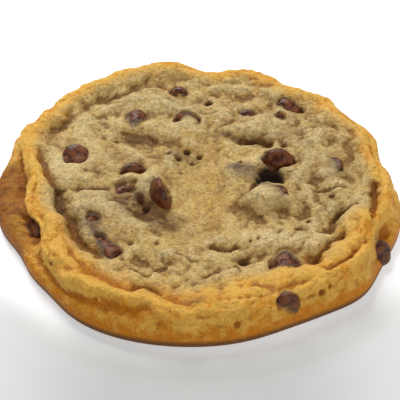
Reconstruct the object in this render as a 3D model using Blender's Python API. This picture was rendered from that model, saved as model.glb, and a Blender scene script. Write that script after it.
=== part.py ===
"""Chocolate chip cookie, about 102 mm across and 11 mm thick.

The dough is one closed solid: a rolled rim round a sunken, lumpy middle, on a flat baked foot.
Every chocolate chip that breaks the surface is a turned drop of its own, seated in a pocket that
is cut into the dough.

The top, the rim and the side are one skin, laid out like a round blanket.  A place on it is
(x, y): its direction from the middle is the azimuth, and its distance from the middle is walked
along the top, over the rim and down the side.  +X is right, -Y is the front and +Z is up.
All sizes below are in millimetres and degrees; the meshes are in metres.
"""
import math

import bmesh
import bpy
import numpy as np
from mathutils import Matrix, Vector

MM = 0.001

# ---- the plain form, before lumps and folds -----------------------------------------------------
MEAN_RADIUS = 50.7      # of the foot, which is the widest part
FLOOR_Z = 8.4           # the sunken middle
CREST_Z = 10.4          # the top of the rim
RISE = 7.0              # run over which the floor climbs to the crest
CREST_IN = 5.0          # from the crest to the widest part, in plan
SIDE_LENGTH = 11.0      # of skin from the crest down to the widest part
FOOT_Z = 2.0            # height of the widest part
UNDER_LENGTH = 3.0      # of skin rolled under the foot
UNDER_IN = 2.0          # how far it rolls in

# Outline of the foot: (azimuth, half width in degrees, bulge).
OUTLINE = (
    (9, 9, -2.0), (34, 9, -1.6), (57, 9, -3.0), (86, 9, -4.0), (106, 13, 2.2), (130, 11, 1.2),
    (157, 6, 1.4), (207, 10, -2.4), (224, 10, -1.6), (245, 20, 0.8), (295, 12, -0.9), (318, 9, 1.6),
    (346, 10, 0.8),
)
# Where the rim is pulled in, so that the foot sticks out as a lip: (azimuth, half width, depth).
LIPS = ((184, 15, 6.0), (208, 9, 2.6), (334, 8, 2.4))
LIP_SHELF = (48, 74)    # part of the side's quarter turn that a lip spreads into a shelf

# ---- lumps and hollows: (x, y, half length, half width, turn of the length, height) --------------
LUMPS = (
    (-33.0, 4.5, 7.5, 6.0, 70, 1.1),         # pale lump that holds the leftmost chip
    (-29.0, -13.0, 4.4, 4.4, 0, 0.9),
    (-18.2, -16.8, 13.0, 4.0, -45, 1.3),     # long ridge behind the front left chip
    (-13.6, -12.8, 7.0, 3.2, -38, -1.9),     # brown hollow
    (-19.4, -3.4, 3.2, 2.6, 0, -1.3),
    (-12.8, -4.6, 5.0, 2.6, 62, 2.6),        # fin that a chip leans on
    (-16.6, -0.8, 3.8, 2.2, 0, 1.0),
    (1.5, -6.5, 14.0, 8.5, 90, -1.5),        # smooth basin
    (-15.5, 15.8, 6.0, 2.6, 0, -1.3),
    (-3.5, 8.2, 6.0, 3.6, 0, -0.7),
    (-3.4, 19.4, 5.0, 3.2, 0, 1.2),
    (9.8, 1.6, 6.2, 4.2, -10, 1.8),
    (18.8, 1.8, 4.0, 2.2, 0, -3.2),          # hole under the largest chip
    (17.6, -9.2, 5.6, 5.2, 90, 2.8),         # round lump over a chip
    (30.2, 4.0, 5.0, 7.0, 0, 1.0),
    (22.8, 18.8, 6.0, 3.2, -20, 1.0),
    (14.8, 20.0, 5.0, 3.0, 0, 0.8),
    (-11.5, 30.5, 5.0, 3.0, -10, 0.7),
    (29.5, -9.4, 4.0, 7.0, 60, 0.6),
    (19.6, -23.8, 8.0, 3.4, -8, 1.5),        # pale lump behind the front right chip
    (-5.0, -29.6, 9.0, 3.4, -12, 0.8),
    (10.0, -36.0, 9.0, 3.0, 8, 0.8),
    (20.5, -37.0, 7.0, 2.4, -6, 0.9),
    (-26.5, 21.0, 7.0, 5.0, 40, 0.7),
    (-24.0, 4.0, 4.4, 5.0, 0, 0.6),
    (9.5, 28.0, 6.0, 3.0, 0, 0.6),
    (32.0, 17.0, 4.4, 5.4, 20, 0.7),
    (4.6, -23.2, 5.0, 2.6, 0, 0.7),
    (35.4, -18.8, 6.5, 2.4, 40, 0.8),
    (32.2, -28.8, 7.0, 2.2, 35, 0.7),
    (-17.5, -36.0, 7.0, 1.9, -14, 0.6),
)

# ---- folds: (points along the fold, half width, depth) ------------------------------------------
FOLDS = (
    (((-40.5, 10.5), (-38.8, 3.0), (-36.9, -2.2), (-33.8, -6.1), (-32.8, -12.0), (-29.4, -19.0),
      (-26.6, -24.5), (-20.4, -30.0)), 1.7, 1.6),
    (((-33.3, -20.3), (-31.6, -23.9), (-29.0, -29.1), (-24.7, -35.2), (-19.4, -38.5), (-15.2, -41.1),
      (-11.5, -38.6), (-7.3, -42.5), (-2.8, -46.5), (2.3, -47.2)), 1.7, 1.2),
    (((-40.9, -27.5), (-38.6, -34.0), (-35.0, -39.0), (-27.9, -44.9), (-17.8, -47.7),
      (-8.5, -48.2)), 2.0, 0.8),
    (((25.9, -32.6), (28.1, -27.6), (31.1, -25.2), (34.1, -20.4)), 1.6, 0.9),
    (((29.7, -22.4), (32.5, -16.3), (37.1, -12.0), (39.2, -10.3)), 1.6, 0.9),
    (((27.6, -33.2), (32.6, -33.0), (38.0, -27.7), (41.3, -25.4)), 1.6, 1.0),
    (((43.1, -2.3), (42.9, -6.7), (42.7, -15.1), (42.8, -17.9)), 1.7, 1.4),
    (((-16.0, 39.0), (-21.3, 34.6), (-28.8, 31.5), (-35.1, 20.1), (-38.8, 18.4)), 1.9, 0.9),
    (((-35.3, -5.9), (-30.6, -4.5), (-25.6, -3.3), (-22.0, -3.3)), 1.7, 1.1),
    (((2.8, -25.5), (6.6, -27.5), (9.9, -25.9)), 1.5, 0.7),
    (((7.1, 17.8), (13.5, 15.3), (20.0, 13.6)), 1.7, 0.9),
    (((38.1, 14.0), (38.9, 7.7), (39.0, 3.9)), 1.7, 0.6),
    (((-48.6, 13.0), (-49.3, 5.8), (-50.1, 0.4), (-49.0, -6.3), (-45.4, -13.2), (-43.8, -20.9),
      (-41.4, -25.0)), 1.6, 1.5),            # between the rim and the left lip
    (((50.4, -17.7), (48.3, -20.5), (47.3, -23.9), (46.3, -27.1), (46.1, -30.3)), 1.5, 1.1),
)
FOLD_TAPER = 0.18       # part of a fold's length over which it starts and dies away
CORNER_ROUNDS = 2       # times that a fold's corners are cut

# ---- chips: (x, y, depth of the middle, azimuth and lean of the tip, radius, height) -------------
# A lean of 0 points the tip straight out of the dough; at 90 the chip lies on its side, and past
# 90 its flat base faces out.
CHIPS = (
    (-31.4, 8.6, 2.1, 90, 150, 3.9, 6.0),
    (-16.6, 24.6, 2.0, 262, 84, 3.2, 8.5),
    (-3.0, 24.0, 2.5, 90, 118, 4.1, 6.0),
    (-5.4, 37.8, 2.5, 90, 105, 3.0, 5.0),
    (24.3, 29.8, 1.9, 325, 92, 2.6, 8.4),
    (21.9, 25.5, 1.9, 90, 20, 1.6, 4.2),
    (13.2, 27.2, 2.9, 90, 105, 3.0, 4.8),
    (-16.4, 3.7, 2.6, 90, 110, 3.8, 5.6),
    (-18.6, -3.4, 1.6, 20, 85, 2.2, 6.0),
    (-9.2, -7.2, 0.2, 195, 104, 5.0, 4.6),
    (20.5, 7.8, 2.0, 90, 105, 4.7, 6.0),
    (18.0, -9.0, 1.9, 300, 160, 4.6, 5.5),
    (33.4, 2.6, 1.0, 0, 158, 4.2, 5.0),
    (-21.0, -26.2, 2.0, 120, 88, 3.2, 10.0),
    (-25.7, -15.8, 1.5, 250, 60, 1.8, 4.2),
    (20.4, -31.4, 0.9, 90, 30, 4.4, 5.6),
    (21.4, -45.6, 1.6, 90, 150, 3.4, 5.0),
    (-44.2, -19.4, 1.9, 117, 90, 2.5, 8.0),
    (47.8, -25.0, 1.5, 60, 160, 3.3, 5.0),
)
# Half section of a chip, from the edge of its base to below its tip: (radius, height) as parts.
CHIP_SECTION = ((0.84, 0.0), (1.0, 0.13), (0.94, 0.36), (0.72, 0.60), (0.43, 0.81), (0.18, 0.95))
CHIP_SIDES = 10
CHIP_MIDDLE = 0.35      # of its height, where a chip is placed from

GAP = 0.3               # left between a chip and its pocket
POCKET_SWEEP = 7.0      # how far a pocket runs on out of the dough
CELLS = 48              # cells across the blanket
NORMAL_STEP = 0.4       # distance over which the skin's slope is measured


def smoothstep(value, low, high):
    part = np.clip((value - low) / (high - low), 0.0, 1.0)
    return part * part * (3.0 - 2.0 * part)


def lobes(azimuth, table):
    """Sum of round bumps along the outline."""
    total = np.zeros_like(azimuth)
    for centre, half_width, height in table:
        turn = (azimuth - centre + 180.0) % 360.0 - 180.0
        total += height * np.exp(-(turn / half_width) ** 2)
    return total


def rim(azimuth):
    """Radius of the foot, depth of the lip and radius of the crest at an azimuth."""
    foot = MEAN_RADIUS + lobes(azimuth, OUTLINE)
    lip = lobes(azimuth, LIPS)
    return foot, lip, foot - lip - CREST_IN


def blanket_radius(azimuth):
    _, lip, crest = rim(azimuth)
    return crest + SIDE_LENGTH + lip + UNDER_LENGTH


def plain_point(x, y):
    """Point of the plain form under the place (x, y) of the blanket."""
    azimuth = np.degrees(np.arctan2(y, x))
    walked = np.hypot(x, y)
    foot, lip, crest = rim(azimuth)
    side = SIDE_LENGTH + lip
    turn = np.clip((walked - crest) / side, 0.0, 1.0) * math.pi / 2
    roll = np.clip((walked - crest - side) / UNDER_LENGTH, 0.0, 1.0) * math.pi / 2
    top_z = FLOOR_Z + (CREST_Z - FLOOR_Z) * smoothstep(walked, crest - RISE, crest)
    side_r = crest + CREST_IN * np.sin(turn) + lip * smoothstep(np.degrees(turn), *LIP_SHELF)
    side_z = FOOT_Z + (CREST_Z - FOOT_Z) * np.cos(turn)
    under_r = foot - UNDER_IN * (1.0 - np.cos(roll))
    under_z = FOOT_Z * (1.0 - np.sin(roll))
    on_top = walked < crest
    on_side = walked < crest + side
    radius = np.where(on_top, walked, np.where(on_side, side_r, under_r))
    height = np.where(on_top, top_z, np.where(on_side, side_z, under_z))
    angle = np.radians(azimuth)
    return np.stack((radius * np.cos(angle), radius * np.sin(angle), height), axis=-1)


def plain_normal(x, y):
    """Direction straight out of the plain form."""
    across = plain_point(x + NORMAL_STEP, y) - plain_point(x - NORMAL_STEP, y)
    along = plain_point(x, y + NORMAL_STEP) - plain_point(x, y - NORMAL_STEP)
    normal = np.cross(across, along)
    return normal / np.linalg.norm(normal, axis=-1, keepdims=True)


def lump(x, y, centre_x, centre_y, half_length, half_width, turn, height):
    angle = math.radians(turn)
    along = (x - centre_x) * math.cos(angle) + (y - centre_y) * math.sin(angle)
    across = (y - centre_y) * math.cos(angle) - (x - centre_x) * math.sin(angle)
    return height * np.exp(-(along / half_length) ** 2 - (across / half_width) ** 2)


def round_corners(points):
    """Cut each corner of an open path at its quarter points, which bends it into a curve."""
    path = [np.array(point, float) for point in points]
    for _ in range(CORNER_ROUNDS):
        inner = []
        for start, end in zip(path, path[1:]):
            inner += [start * 0.75 + end * 0.25, start * 0.25 + end * 0.75]
        path = [path[0], *inner, path[-1]]
    return path


def fold(x, y, points, half_width, depth):
    """A groove along a path, shallow at both ends."""
    path = round_corners(points)
    nearest = np.full(np.shape(x), np.inf)
    place = np.zeros(np.shape(x))
    count = len(path) - 1
    for index, (start, end) in enumerate(zip(path, path[1:])):
        step = end - start
        part = ((x - start[0]) * step[0] + (y - start[1]) * step[1]) / step.dot(step)
        part = np.clip(part, 0.0, 1.0)
        distance = np.hypot(x - start[0] - part * step[0], y - start[1] - part * step[1])
        closer = distance < nearest
        nearest = np.where(closer, distance, nearest)
        place = np.where(closer, (index + part) / count, place)
    taper = smoothstep(place, 0.0, FOLD_TAPER) * (1.0 - smoothstep(place, 1.0 - FOLD_TAPER, 1.0))
    return -depth * taper * np.exp(-(nearest / half_width) ** 2)


def relief(x, y):
    """Height of the lumps and folds over the plain form; none where the foot rolls under."""
    height = sum(lump(x, y, *entry) for entry in LUMPS)
    height = height + sum(fold(x, y, *entry) for entry in FOLDS)
    to_edge = blanket_radius(np.degrees(np.arctan2(y, x))) - np.hypot(x, y)
    return height * smoothstep(to_edge, UNDER_LENGTH, UNDER_LENGTH + 4.0)


def skin_point(x, y):
    return plain_point(x, y) + plain_normal(x, y) * relief(x, y)[..., None]


def blanket_grid(cells):
    """Places of a square grid bent onto the round blanket, ring by ring."""
    line = np.linspace(-1.0, 1.0, cells + 1)
    a, b = np.meshgrid(line, line, indexing="ij")
    ring = np.maximum(np.abs(a), np.abs(b))
    wide = np.abs(a) >= np.abs(b)
    long_side = np.where(wide, a, b)
    short_side = np.where(wide, b, a)
    share = short_side / np.where(long_side == 0.0, 1.0, long_side)
    angle = np.where(wide, share, 2.0 - share) * math.pi / 4 + np.where(long_side < 0.0, math.pi, 0.0)
    reach = ring * blanket_radius(np.degrees(angle))
    return reach * np.cos(angle), reach * np.sin(angle)


def grid_border(cells):
    """Indices of the grid's border, anticlockwise seen from above."""
    side = range(cells)
    border = [(index, 0) for index in side] + [(cells, index) for index in side]
    border += [(cells - index, cells) for index in side] + [(0, cells - index) for index in side]
    return border


def add_object(name, shape, material):
    """Turn a bmesh in millimetres into an object of its own."""
    mesh = bpy.data.meshes.new(name)
    bmesh.ops.recalc_face_normals(shape, faces=shape.faces)
    bmesh.ops.scale(shape, vec=(MM, MM, MM), verts=shape.verts)
    shape.to_mesh(mesh)
    shape.free()
    mesh.shade_smooth()
    mesh.materials.append(material)
    thing = bpy.data.objects.new(name, mesh)
    bpy.context.scene.collection.objects.link(thing)
    return thing


def make_material(name, colour, roughness):
    material = bpy.data.materials.new(name)
    material.use_nodes = True
    shader = material.node_tree.nodes["Principled BSDF"]
    shader.inputs["Base Color"].default_value = (*colour, 1.0)
    shader.inputs["Roughness"].default_value = roughness
    shader.inputs["Metallic"].default_value = 0.0
    return material


def make_dough(origin, material):
    """The skin as a grid, closed underneath by a flat fan round the middle of the base."""
    points = skin_point(*blanket_grid(CELLS)) - origin
    shape = bmesh.new()
    grid = [[shape.verts.new(point) for point in row] for row in points]
    for i in range(CELLS):
        for j in range(CELLS):
            shape.faces.new((grid[i][j], grid[i + 1][j], grid[i + 1][j + 1], grid[i][j + 1]))
    border = [grid[i][j] for i, j in grid_border(CELLS)]
    middle = shape.verts.new((0.0, 0.0, 0.0))
    for start, end in zip(border, border[1:] + border[:1]):
        shape.faces.new((start, middle, end))
    return add_object("dough", shape, material)


def chip_shape(radius, height, extra):
    """A turned drop round +Z, grown by extra all round; its base is at zero."""
    shape = bmesh.new()
    middle = height * CHIP_MIDDLE
    grow = (height / 2 + extra) / (height / 2)
    rings = []
    for part_r, part_z in CHIP_SECTION:
        r = radius * part_r + extra
        z = height / 2 + (height * part_z - height / 2) * grow - middle
        turns = [math.tau * side / CHIP_SIDES for side in range(CHIP_SIDES)]
        rings.append([shape.verts.new((r * math.cos(t), r * math.sin(t), z)) for t in turns])
    base = shape.verts.new((0.0, 0.0, -extra - middle))
    tip = shape.verts.new((0.0, 0.0, height + extra - middle))
    for side in range(CHIP_SIDES):
        following = (side + 1) % CHIP_SIDES
        shape.faces.new((base, rings[0][following], rings[0][side]))
        shape.faces.new((tip, rings[-1][side], rings[-1][following]))
        for low, high in zip(rings, rings[1:]):
            shape.faces.new((low[side], low[following], high[following], high[side]))
    return shape


def chip_place(x, y, depth, tip_azimuth, lean, origin):
    """Where a chip's middle sits and how it is turned, and the way straight out of the dough."""
    spot = (np.array([x]), np.array([y]))
    outward = Vector(plain_normal(*spot)[0])
    middle = Vector(skin_point(*spot)[0] - origin) - outward * depth
    angle = math.radians(tip_azimuth)
    flat = Vector((math.cos(angle), math.sin(angle), 0.0))
    sideways = (flat - outward * flat.dot(outward)).normalized()
    tilt = math.radians(lean)
    axis = outward * math.cos(tilt) + sideways * math.sin(tilt)
    turn = axis.to_track_quat("Z", "Y").to_matrix().to_4x4()
    return Matrix.Translation(middle) @ turn, outward


def make_cutter(name, radius, height, place, outward, material):
    """The pocket's shape: the chip with its gap, swept out of the dough."""
    shape = chip_shape(radius, height, GAP)
    bmesh.ops.transform(shape, matrix=place, verts=shape.verts)
    near = [vert.co.copy() for vert in shape.verts]
    shape.clear()
    for point in near:
        shape.verts.new(point)
        shape.verts.new(point + outward * POCKET_SWEEP)
    hull = bmesh.ops.convex_hull(shape, input=shape.verts)
    inner = [item for item in hull["geom_interior"] if isinstance(item, bmesh.types.BMVert)]
    bmesh.ops.delete(shape, geom=inner, context="VERTS")
    cutter = add_object(name, shape, material)
    cutter.hide_render = True
    cutter.display_type = "WIRE"
    return cutter


def seat_chip(number, entry, origin, dough, material):
    """Make one chip and cut its pocket."""
    x, y, depth, tip_azimuth, lean, radius, height = entry
    place, outward = chip_place(x, y, depth, tip_azimuth, lean, origin)
    name = f"chip_{number:02d}"
    shape = chip_shape(radius, height, 0.0)
    bmesh.ops.transform(shape, matrix=place, verts=shape.verts)
    add_object(name, shape, material)
    cut = dough.modifiers.new(f"pocket_{number:02d}", "BOOLEAN")
    cut.operation = "DIFFERENCE"
    cut.solver = "EXACT"
    cut.object = make_cutter(f"cutter_{number:02d}", radius, height, place, outward, material)


def find_origin():
    """The middle of the outline, at the height of the base."""
    points = skin_point(*blanket_grid(CELLS)).reshape(-1, 3)
    middle = (points.min(axis=0) + points.max(axis=0)) / 2
    return np.array((middle[0], middle[1], 0.0))


def main():
    for thing in list(bpy.data.objects):
        bpy.data.objects.remove(thing)
    origin = find_origin()
    baked = make_material("baked_dough", (0.57, 0.34, 0.12), 0.8)
    chocolate = make_material("chocolate", (0.07, 0.018, 0.008), 0.35)
    dough = make_dough(origin, baked)
    for number, entry in enumerate(CHIPS, start=1):
        seat_chip(number, entry, origin, dough, chocolate)


main()
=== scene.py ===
"""Looks of the chocolate chip cookie: the dough's fine skin, the chips, the light and the camera.

The dough is laid out like a round blanket, as in the CAD: a place on it is (x, y), whose direction
from the middle is the azimuth and whose distance from the middle is walked along the top, over the
rim and down the side.  Shapes are worked out in millimetres and degrees; meshes are in metres.
"""

import math

import bmesh
import bpy
import numpy as np
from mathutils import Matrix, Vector, noise
from mathutils.bvhtree import BVHTree


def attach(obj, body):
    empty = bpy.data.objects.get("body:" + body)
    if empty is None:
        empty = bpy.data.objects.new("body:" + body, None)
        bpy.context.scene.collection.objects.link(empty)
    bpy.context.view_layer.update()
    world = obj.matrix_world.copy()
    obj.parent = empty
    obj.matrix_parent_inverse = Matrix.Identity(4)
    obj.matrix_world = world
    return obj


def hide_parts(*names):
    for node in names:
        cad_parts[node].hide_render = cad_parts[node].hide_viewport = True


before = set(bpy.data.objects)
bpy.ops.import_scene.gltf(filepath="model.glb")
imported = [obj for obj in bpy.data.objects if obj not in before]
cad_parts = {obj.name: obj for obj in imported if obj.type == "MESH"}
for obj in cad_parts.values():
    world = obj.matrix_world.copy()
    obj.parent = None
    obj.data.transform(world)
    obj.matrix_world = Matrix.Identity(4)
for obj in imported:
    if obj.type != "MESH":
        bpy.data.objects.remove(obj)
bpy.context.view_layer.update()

MM = 0.001

# ---- the plain form, the same as the CAD's ------------------------------------------------------
MEAN_RADIUS = 50.7      # of the foot, which is the widest part
FLOOR_Z = 8.4           # the sunken middle
CREST_Z = 10.4          # the top of the rim
RISE = 7.0              # run over which the floor climbs to the crest
CREST_IN = 5.0          # from the crest to the widest part, in plan
SIDE_LENGTH = 11.0      # of skin from the crest down to the widest part
FOOT_Z = 2.0            # height of the widest part
UNDER_LENGTH = 3.0      # of skin rolled under the foot
UNDER_IN = 2.0          # how far it rolls in
ORIGIN = (0.01, 0.27, 0.0)      # middle of the outline, which the CAD puts at zero
NORMAL_STEP = 0.4       # distance over which the skin's slope is measured

# Outline of the foot: (azimuth, half width in degrees, bulge).
OUTLINE = (
    (9, 9, -2.0), (34, 9, -1.6), (57, 9, -3.0), (86, 9, -4.0), (106, 13, 2.2), (130, 11, 1.2),
    (157, 6, 1.4), (207, 10, -2.4), (224, 10, -1.6), (245, 20, 0.8), (295, 12, -0.9), (318, 9, 1.6),
    (346, 10, 0.8),
)
# Where the rim is pulled in, so that the foot sticks out as a lip: (azimuth, half width, depth).
LIPS = ((184, 15, 6.0), (208, 9, 2.6), (334, 8, 2.4))
LIP_SHELF = (48, 74)    # part of the side's quarter turn that a lip spreads into a shelf

# ---- lumps and hollows: (x, y, half length, half width, turn of the length, height) --------------
LUMPS = (
    (-33.0, 4.5, 7.5, 6.0, 70, 1.1),         # pale lump that holds the leftmost chip
    (-29.0, -13.0, 4.4, 4.4, 0, 0.9),
    (-18.2, -16.8, 13.0, 4.0, -45, 1.3),     # long ridge behind the front left chip
    (-13.6, -12.8, 7.0, 3.2, -38, -1.9),     # hollow, darkened in the colour by browning and painted shade
    (-19.4, -3.4, 3.2, 2.6, 0, -1.3),
    (-12.8, -4.6, 5.0, 2.6, 62, 3.4),        # fin that a chip leans on
    (-16.6, -0.8, 3.8, 2.2, 0, 1.0),
    (1.5, -6.5, 14.0, 8.5, 90, -1.5),        # smooth basin
    (-15.5, 15.8, 6.0, 2.6, 0, -1.3),
    (-3.5, 8.2, 6.0, 3.6, 0, -0.7),
    (-3.4, 19.4, 5.0, 3.2, 0, 1.2),
    (10.6, 0.4, 5.6, 3.8, -10, 2.6),
    (18.8, 1.8, 4.0, 2.2, 0, -3.2),          # hole under the largest chip
    (18.4, -8.4, 4.6, 4.6, 90, 3.2),         # round lump over a chip
    (30.2, 4.0, 5.0, 7.0, 0, 1.0),
    (22.8, 18.8, 6.0, 3.2, -20, 1.0),
    (14.8, 20.0, 5.0, 3.0, 0, 0.8),
    (-11.5, 30.5, 5.0, 3.0, -10, 0.7),
    (29.5, -9.4, 4.0, 7.0, 60, 0.6),
    (19.6, -23.8, 8.0, 3.4, -8, 1.5),        # pale lump behind the front right chip
    (-5.0, -29.6, 9.0, 3.4, -12, 0.8),
    (10.0, -36.0, 9.0, 3.0, 8, 0.8),
    (20.5, -37.0, 7.0, 2.4, -6, 0.9),
    (-26.5, 21.0, 7.0, 5.0, 40, 0.7),
    (-24.0, 4.0, 4.4, 5.0, 0, 0.6),
    (9.5, 28.0, 6.0, 3.0, 0, 0.6),
    (32.0, 17.0, 4.4, 5.4, 20, 0.7),
    (4.6, -23.2, 5.0, 2.6, 0, 0.7),
    (35.4, -18.8, 6.5, 2.4, 40, 0.8),
    (32.2, -28.8, 7.0, 2.2, 35, 0.7),
    (-17.5, -36.0, 7.0, 1.9, -14, 0.6),
    (-13.0, -36.5, 11.0, 4.6, -16, 0.9),
    (6.0, -39.0, 11.0, 4.6, 6, 1.1),
    (23.0, -31.5, 9.0, 4.0, 34, 0.6),
)

# ---- folds: (points along the fold, half width, depth) ------------------------------------------
FOLDS = (
    (((-40.5, 10.5), (-38.8, 3.0), (-36.9, -2.2), (-33.8, -6.1), (-32.8, -12.0), (-29.4, -19.0),
      (-26.6, -24.5), (-20.4, -30.0)), 1.8, 2.6),
    (((-33.3, -20.3), (-31.6, -23.9), (-29.0, -29.1), (-24.7, -35.2), (-19.4, -38.5), (-15.2, -41.1),
      (-11.5, -38.6), (-7.3, -42.5), (-2.8, -46.5), (2.3, -47.2)), 2.1, 1.5),
    (((-40.9, -27.5), (-38.6, -34.0), (-35.0, -39.0), (-27.9, -44.9), (-17.8, -47.7),
      (-8.5, -48.2)), 2.2, 1.4),
    (((25.9, -32.6), (28.1, -27.6), (31.1, -25.2), (34.1, -20.4)), 1.6, 0.9),
    (((29.7, -22.4), (32.5, -16.3), (37.1, -12.0), (39.2, -10.3)), 1.6, 0.9),
    (((27.6, -33.2), (32.6, -33.0), (38.0, -27.7), (41.3, -25.4)), 1.6, 1.0),
    (((43.1, -2.3), (42.9, -6.7), (42.7, -15.1), (42.8, -17.9)), 1.7, 1.4),
    (((-16.0, 39.0), (-21.3, 34.6), (-28.8, 31.5), (-35.1, 20.1), (-38.8, 18.4)), 1.9, 0.9),
    (((-35.3, -5.9), (-30.6, -4.5), (-25.6, -3.3), (-22.0, -3.3)), 1.7, 1.1),
    (((2.8, -25.5), (6.6, -27.5), (9.9, -25.9)), 1.5, 0.7),
    (((7.1, 17.8), (13.5, 15.3), (20.0, 13.6)), 1.7, 0.9),
    (((38.1, 14.0), (38.9, 7.7), (39.0, 3.9)), 1.7, 0.6),
    (((-48.6, 13.0), (-49.3, 5.8), (-50.1, 0.4), (-49.0, -6.3), (-45.4, -13.2), (-43.8, -20.9),
      (-41.4, -25.0)), 1.6, 1.5),            # between the rim and the left lip
    (((50.4, -17.7), (48.3, -20.5), (47.3, -23.9), (46.3, -27.1), (46.1, -30.3)), 1.5, 1.1),
)
CRACKS = (
    (((2.8, -25.5), (4.7, -26.6), (6.6, -27.5), (8.5, -27.2), (9.9, -25.9)), 0.5, 1.2),
    (((-10.6, -33.6), (-8.7, -33.3), (-6.4, -32.9)), 0.5, 0.8),
    (((-16.1, -33.6), (-14.7, -34.2), (-13.2, -35.2), (-11.4, -35.9), (-10.6, -34.2)), 0.5, 0.9),
    (((25.9, -32.6), (28.1, -27.6), (31.1, -25.2), (32.8, -22.5), (34.1, -20.4)), 0.5, 1.0),
    (((29.7, -22.4), (31.6, -19.2), (32.5, -16.3), (34.5, -14.2), (37.1, -12.0), (39.2, -10.3)),
     0.5, 1.0),
    (((27.6, -33.2), (30.2, -34.6), (32.6, -33.0), (35.0, -31.4), (38.0, -27.7)), 0.5, 1.0),
    (((43.1, -2.3), (42.9, -6.7), (42.9, -10.9), (42.7, -15.1), (42.8, -17.9)), 0.6, 1.3),
    (((42.7, -8.2), (43.8, -8.3), (44.9, -7.8)), 0.5, 0.9),
    (((-5.8, -28.2), (-3.7, -29.9), (-1.8, -30.9), (0.5, -31.6)), 0.5, 0.6),
    (((-20.5, 18.7), (-16.5, 17.4), (-12.6, 17.4), (-10.5, 14.9)), 0.6, 0.9),
    (((10.9, 14.8), (13.5, 15.3), (16.6, 14.9), (20.0, 13.6)), 0.6, 1.1),
    (((15.0, -2.6), (13.4, -5.8), (11.6, -9.0)), 0.7, 1.2),
    (((25.3, -5.2), (29.7, -5.6), (32.7, -5.2), (37.4, -3.7)), 0.5, 0.8),
    (((-15.2, -41.1), (-13.6, -39.2), (-11.5, -38.6), (-9.4, -40.1), (-7.3, -42.5)), 0.5, 0.9),
    (((-49.0, 9.0), (-49.3, 5.8), (-50.1, 0.4), (-49.0, -6.3), (-45.4, -13.2)), 0.6, 1.2),
    (((-44.5, -15.0), (-43.8, -20.9), (-41.4, -25.0)), 0.7, 1.6),
    (((49.6, -18.6), (48.3, -20.5), (47.3, -23.9), (46.3, -27.1)), 0.6, 1.0),
)
FOLD_TAPER = 0.18       # part of a path's length over which it starts and dies away
CORNER_ROUNDS = 2       # times that a path's corners are cut
FOLD_CORE = 0.26        # half width of a fold's sharp bottom, as a part of its whole half width
FOLD_SHOULDER = 0.24    # height of the swelling beside a fold, as a part of its depth
FOLD_GROWTH = 0.95      # depth of a fold against the same fold of the CAD
SOFT_SHARE = 0.6        # part of a path's depth that is a round hollow
SHARP_SHARE = 0.4       # part of it that is a sharp bottom
SWELLING_PLACE = 1.9    # from a path's middle to the swelling beside it, in half widths

# ---- holes and pores in the skin: (x, y, radius, depth) -----------------------------------------
PITS = (
    (2.9, 31.9, 1.0, 2.6), (-7.2, 9.0, 0.7, 1.8), (-2.9, 10.7, 0.8, 2.0), (0.3, 9.0, 0.7, 1.6),
    (-5.1, 7.3, 1.0, 1.2), (-1.6, 6.5, 0.5, 0.9), (-12.7, -10.9, 0.9, 1.6),
    (-13.9, -9.4, 0.7, 1.4), (10.7, 5.0, 0.6, 1.3), (22.3, 13.1, 0.7, 1.2), (34.0, 1.0, 0.5, 0.8),
    (26.8, -16.7, 0.7, 1.2), (24.4, -19.2, 0.5, 1.0), (33.1, -7.2, 0.6, 1.2),
    (39.4, -12.9, 0.6, 0.9), (35.4, -31.0, 0.7, 1.2), (-15.8, -24.8, 0.5, 0.9),
    (-9.6, -24.4, 0.5, 0.8), (-8.1, -30.6, 0.5, 0.8), (-24.3, 15.7, 0.9, 0.8),
    (-21.2, 14.7, 0.7, 0.6), (10.9, -30.3, 1.3, 1.5), (-17.6, -29.6, 0.6, 0.9),
    (29.6, -42.0, 0.8, 1.2), (18.4, 2.0, 3.2, 3.4), (15.6, -1.4, 1.3, 2.0),
    (-16.0, -5.4, 1.0, 1.2), (12.4, -24.1, 0.5, 0.9), (14.2, -23.3, 0.5, 0.8),
    (9.5, -52.3, 0.8, 1.0), (-35.6, -33.0, 0.6, 0.8), (-24.0, -44.6, 0.6, 0.7),
    (31.2, -40.2, 0.5, 0.9),
)

# ---- where chips show bare: (x, y, half length, half width, turn of the length) ------------------
BARE = (
    (-31.4, 7.4, 4.4, 3.2, 95), (-16.4, 26.2, 3.0, 1.5, 80), (-5.0, 25.2, 2.7, 1.4, 46),
    (-2.8, 26.4, 2.8, 1.5, 0), (-0.4, 25.2, 2.4, 1.3, -40), (-5.4, 37.4, 2.5, 0.8, 0),
    (25.3, 29.2, 4.0, 1.4, -36), (21.8, 25.9, 1.2, 1.2, 0), (13.3, 26.8, 1.2, 0.4, 0),
    (-17.8, 3.2, 2.2, 0.9, 24), (-15.0, 2.8, 2.2, 1.0, -34), (-19.2, -3.3, 1.3, 1.1, 0),
    (-16.2, -4.4, 1.2, 0.8, 30), (-9.5, -6.4, 6.4, 2.0, -74), (20.4, 5.8, 4.9, 5.0, 10),
    (25.2, 4.6, 2.8, 1.0, 62), (21.9, -8.8, 4.0, 0.8, -68), (36.5, 2.6, 3.8, 0.9, -74),
    (-22.9, -22.0, 1.5, 0.9, -60), (-21.4, -24.8, 2.4, 0.5, -62), (-20.1, -27.4, 2.0, 1.7, -60),
    (-25.7, -15.8, 1.4, 1.2, 0), (20.4, -32.8, 4.0, 0.7, -12), (19.4, -31.4, 1.0, 0.6, 0),
    (19.3, -45.4, 1.4, 1.1, 0), (23.2, -45.2, 1.7, 1.2, 0), (21.4, -44.3, 2.2, 0.8, 0),
    (-43.9, -19.8, 4.0, 1.0, -62), (47.7, -25.2, 2.4, 1.0, 82),
)
BARE_RAGGED = 0.75      # how far the edge of a bare patch wanders
RAGS = ((1.9, 1.0, 21), (0.9, 0.7, 22))         # (size, share, seed) of that wandering
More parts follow.
